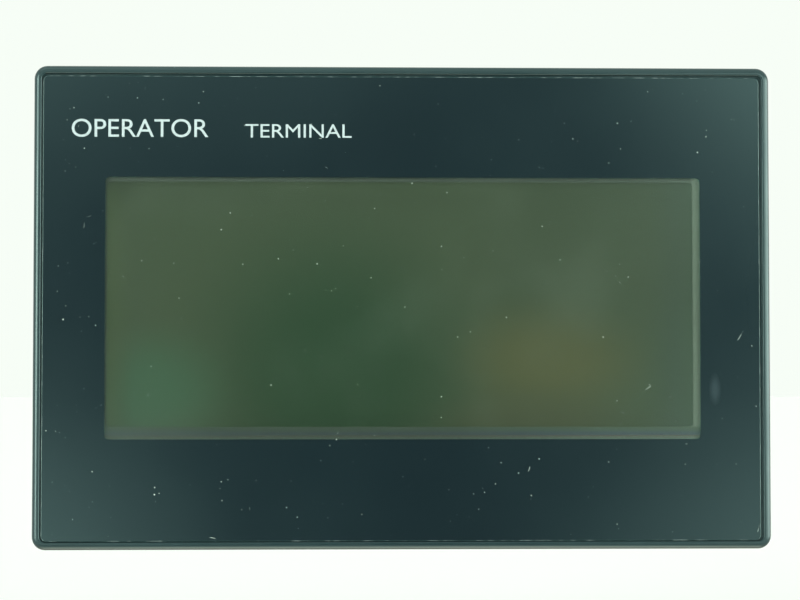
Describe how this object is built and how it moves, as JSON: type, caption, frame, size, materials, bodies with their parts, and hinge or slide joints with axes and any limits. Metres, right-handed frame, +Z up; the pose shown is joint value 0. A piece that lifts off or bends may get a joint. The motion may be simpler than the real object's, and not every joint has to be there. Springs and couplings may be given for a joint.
{
  "type": "hmi touch panel",
  "caption": "Flat rectangular operator touch panel with a wide display window in a glossy dark face, held in a cabinet cut-out, with plug-in terminals and a hinged option lid behind.",
  "frame": {"origin": "centre of the cabinet cut-out, on the door's front surface, where the sealing ring seats", "axes": "+X the operator's right, +Z up, +Y back into the cabinet; the display faces -Y"},
  "size_m": [0.113, 0.027, 0.074],
  "materials": {
    "frame_plastic": "dark grey moulded polycarbonate blend, smooth satin gloss",
    "printed_film": "glossy clear polyester, dark blue-green print behind round a clear window",
    "clear_film": "clear polyester or acrylic",
    "glass": "clear float glass, conductive coating",
    "display_green": "unlit grey-green reflective liquid crystal cell",
    "case_plastic": "near-black moulded plastic, fine spark-eroded texture",
    "seal_rubber": "black closed-cell foam rubber",
    "board_green": "glass-epoxy laminate, green solder mask",
    "chip_black": "black moulded epoxy or plastic",
    "polyimide": "amber flexible circuit",
    "steel": "zinc-plated or nickel-plated steel",
    "tin": "tin-plated copper alloy",
    "terminal_green": "green glass-filled nylon",
    "switch_white": "off-white moulded plastic",
    "label_silver": "satin silver polyester label"
  },
  "bodies": {
    "panel": {"front_frame": "frame_plastic", "printed_sheet": "printed_film", "sealing_ring": "seal_rubber", "touch_film": "clear_film", "touch_spacer": "clear_film", "touch_glass": "glass", "touch_tail": "polyimide", "display_frame": "steel", "display_cell": "display_green", "light_guide": "clear_film", "lamp_bar": "switch_white", "display_board": "board_green", "display_flex": "polyimide", "main_board": "board_green", "processor_chip": "chip_black", "sounder": "chip_black", "supply_inductor": "chip_black", "supply_capacitor_1": "steel", "supply_capacitor_2": "steel", "rear_case": "case_plastic", "rating_label": "label_silver", "case_screw_1": "steel", "case_screw_2": "steel", "case_screw_3": "steel", "case_screw_4": "steel", "option_connector": "switch_white", "selector_body": "chip_black", "socket_housing": "chip_black", "socket_shield": "tin", "socket_core": "chip_black", "comm_header": "terminal_green", "power_header": "terminal_green"},
    "option_lid": {"option_lid": "case_plastic"},
    "selector_slider": {"selector_slider": "switch_white"},
    "comm_plug": {"comm_plug": "terminal_green"},
    "comm_screw_1": {"comm_screw_1": "steel"},
    "comm_cage_1": {"comm_cage_1": "tin"},
    "comm_screw_2": {"comm_screw_2": "steel"},
    "comm_cage_2": {"comm_cage_2": "tin"},
    "comm_screw_3": {"comm_screw_3": "steel"},
    "comm_cage_3": {"comm_cage_3": "tin"},
    "comm_screw_4": {"comm_screw_4": "steel"},
    "comm_cage_4": {"comm_cage_4": "tin"},
    "comm_screw_5": {"comm_screw_5": "steel"},
    "comm_cage_5": {"comm_cage_5": "tin"},
    "comm_screw_6": {"comm_screw_6": "steel"},
    "comm_cage_6": {"comm_cage_6": "tin"},
    "comm_screw_7": {"comm_screw_7": "steel"},
    "comm_cage_7": {"comm_cage_7": "tin"},
    "comm_screw_8": {"comm_screw_8": "steel"},
    "comm_cage_8": {"comm_cage_8": "tin"},
    "comm_screw_9": {"comm_screw_9": "steel"},
    "comm_cage_9": {"comm_cage_9": "tin"},
    "power_plug": {"power_plug": "terminal_green"},
    "power_screw_1": {"power_screw_1": "steel"},
    "power_cage_1": {"power_cage_1": "tin"},
    "power_screw_2": {"power_screw_2": "steel"},
    "power_cage_2": {"power_cage_2": "tin"},
    "power_screw_3": {"power_screw_3": "steel"},
    "power_cage_3": {"power_cage_3": "tin"}
  },
  "joints": [
    {"name": "option_lid_hinge", "type": "hinge", "parent": "panel", "child": "option_lid", "pos_m": [-0.023, 0.02117, 0.02322], "axis": [1, 0, 0], "range_deg": [0, 95]},
    {"name": "selector_slide", "type": "slide", "parent": "panel", "child": "selector_slider", "axis": [1, 0, 0], "range_m": [-0.002, 0.002]},
    {"name": "comm_plug_slide", "type": "slide", "parent": "panel", "child": "comm_plug", "axis": [0, 0, -1], "range_m": [0, 0.012]},
    {"name": "comm_screw_1_turn", "type": "hinge", "parent": "comm_plug", "child": "comm_screw_1", "pos_m": [0.00536, 0.0188, -0.028], "axis": [0, -1, 0], "range_deg": [0, 1350]},
    {"name": "comm_cage_1_lift", "type": "slide", "parent": "comm_plug", "child": "comm_cage_1", "axis": [0, 1, 0], "range_m": [0, 0.0015]},
    {"name": "comm_screw_2_turn", "type": "hinge", "parent": "comm_plug", "child": "comm_screw_2", "pos_m": [0.00917, 0.0188, -0.028], "axis": [0, -1, 0], "range_deg": [0, 1350]},
    {"name": "comm_cage_2_lift", "type": "slide", "parent": "comm_plug", "child": "comm_cage_2", "axis": [0, 1, 0], "range_m": [0, 0.0015]},
    {"name": "comm_screw_3_turn", "type": "hinge", "parent": "comm_plug", "child": "comm_screw_3", "pos_m": [0.01298, 0.0188, -0.028], "axis": [0, -1, 0], "range_deg": [0, 1350]},
    {"name": "comm_cage_3_lift", "type": "slide", "parent": "comm_plug", "child": "comm_cage_3", "axis": [0, 1, 0], "range_m": [0, 0.0015]},
    {"name": "comm_screw_4_turn", "type": "hinge", "parent": "comm_plug", "child": "comm_screw_4", "pos_m": [0.01679, 0.0188, -0.028], "axis": [0, -1, 0], "range_deg": [0, 1350]},
    {"name": "comm_cage_4_lift", "type": "slide", "parent": "comm_plug", "child": "comm_cage_4", "axis": [0, 1, 0], "range_m": [0, 0.0015]},
    {"name": "comm_screw_5_turn", "type": "hinge", "parent": "comm_plug", "child": "comm_screw_5", "pos_m": [0.0206, 0.0188, -0.028], "axis": [0, -1, 0], "range_deg": [0, 1350]},
    {"name": "comm_cage_5_lift", "type": "slide", "parent": "comm_plug", "child": "comm_cage_5", "axis": [0, 1, 0], "range_m": [0, 0.0015]},
    {"name": "comm_screw_6_turn", "type": "hinge", "parent": "comm_plug", "child": "comm_screw_6", "pos_m": [0.02441, 0.0188, -0.028], "axis": [0, -1, 0], "range_deg": [0, 1350]},
    {"name": "comm_cage_6_lift", "type": "slide", "parent": "comm_plug", "child": "comm_cage_6", "axis": [0, 1, 0], "range_m": [0, 0.0015]},
    {"name": "comm_screw_7_turn", "type": "hinge", "parent": "comm_plug", "child": "comm_screw_7", "pos_m": [0.02822, 0.0188, -0.028], "axis": [0, -1, 0], "range_deg": [0, 1350]},
    {"name": "comm_cage_7_lift", "type": "slide", "parent": "comm_plug", "child": "comm_cage_7", "axis": [0, 1, 0], "range_m": [0, 0.0015]},
    {"name": "comm_screw_8_turn", "type": "hinge", "parent": "comm_plug", "child": "comm_screw_8", "pos_m": [0.03203, 0.0188, -0.028], "axis": [0, -1, 0], "range_deg": [0, 1350]},
    {"name": "comm_cage_8_lift", "type": "slide", "parent": "comm_plug", "child": "comm_cage_8", "axis": [0, 1, 0], "range_m": [0, 0.0015]},
    {"name": "comm_screw_9_turn", "type": "hinge", "parent": "comm_plug", "child": "comm_screw_9", "pos_m": [0.03584, 0.0188, -0.028], "axis": [0, -1, 0], "range_deg": [0, 1350]},
    {"name": "comm_cage_9_lift", "type": "slide", "parent": "comm_plug", "child": "comm_cage_9", "axis": [0, 1, 0], "range_m": [0, 0.0015]},
    {"name": "power_plug_slide", "type": "slide", "parent": "panel", "child": "power_plug", "axis": [0, 0, -1], "range_m": [0, 0.012]},
    {"name": "power_screw_1_turn", "type": "hinge", "parent": "power_plug", "child": "power_screw_1", "pos_m": [-0.01558, 0.0188, -0.028], "axis": [0, -1, 0], "range_deg": [0, 1350]},
    {"name": "power_cage_1_lift", "type": "slide", "parent": "power_plug", "child": "power_cage_1", "axis": [0, 1, 0], "range_m": [0, 0.0015]},
    {"name": "power_screw_2_turn", "type": "hinge", "parent": "power_plug", "child": "power_screw_2", "pos_m": [-0.0105, 0.0188, -0.028], "axis": [0, -1, 0], "range_deg": [0, 1350]},
    {"name": "power_cage_2_lift", "type": "slide", "parent": "power_plug", "child": "power_cage_2", "axis": [0, 1, 0], "range_m": [0, 0.0015]},
    {"name": "power_screw_3_turn", "type": "hinge", "parent": "power_plug", "child": "power_screw_3", "pos_m": [-0.00542, 0.0188, -0.028], "axis": [0, -1, 0], "range_deg": [0, 1350]},
    {"name": "power_cage_3_lift", "type": "slide", "parent": "power_plug", "child": "power_cage_3", "axis": [0, 1, 0], "range_m": [0, 0.0015]}
  ],
  "couplings": [
    {"joint": "comm_screw_1_turn", "follows": "comm_cage_1_lift", "rad_per_m": 15708},
    {"joint": "comm_screw_2_turn", "follows": "comm_cage_2_lift", "rad_per_m": 15708},
    {"joint": "comm_screw_3_turn", "follows": "comm_cage_3_lift", "rad_per_m": 15708},
    {"joint": "comm_screw_4_turn", "follows": "comm_cage_4_lift", "rad_per_m": 15708},
    {"joint": "comm_screw_5_turn", "follows": "comm_cage_5_lift", "rad_per_m": 15708},
    {"joint": "comm_screw_6_turn", "follows": "comm_cage_6_lift", "rad_per_m": 15708},
    {"joint": "comm_screw_7_turn", "follows": "comm_cage_7_lift", "rad_per_m": 15708},
    {"joint": "comm_screw_8_turn", "follows": "comm_cage_8_lift", "rad_per_m": 15708},
    {"joint": "comm_screw_9_turn", "follows": "comm_cage_9_lift", "rad_per_m": 15708},
    {"joint": "power_screw_1_turn", "follows": "power_cage_1_lift", "rad_per_m": 15708},
    {"joint": "power_screw_2_turn", "follows": "power_cage_2_lift", "rad_per_m": 15708},
    {"joint": "power_screw_3_turn", "follows": "power_cage_3_lift", "rad_per_m": 15708}
  ]
}
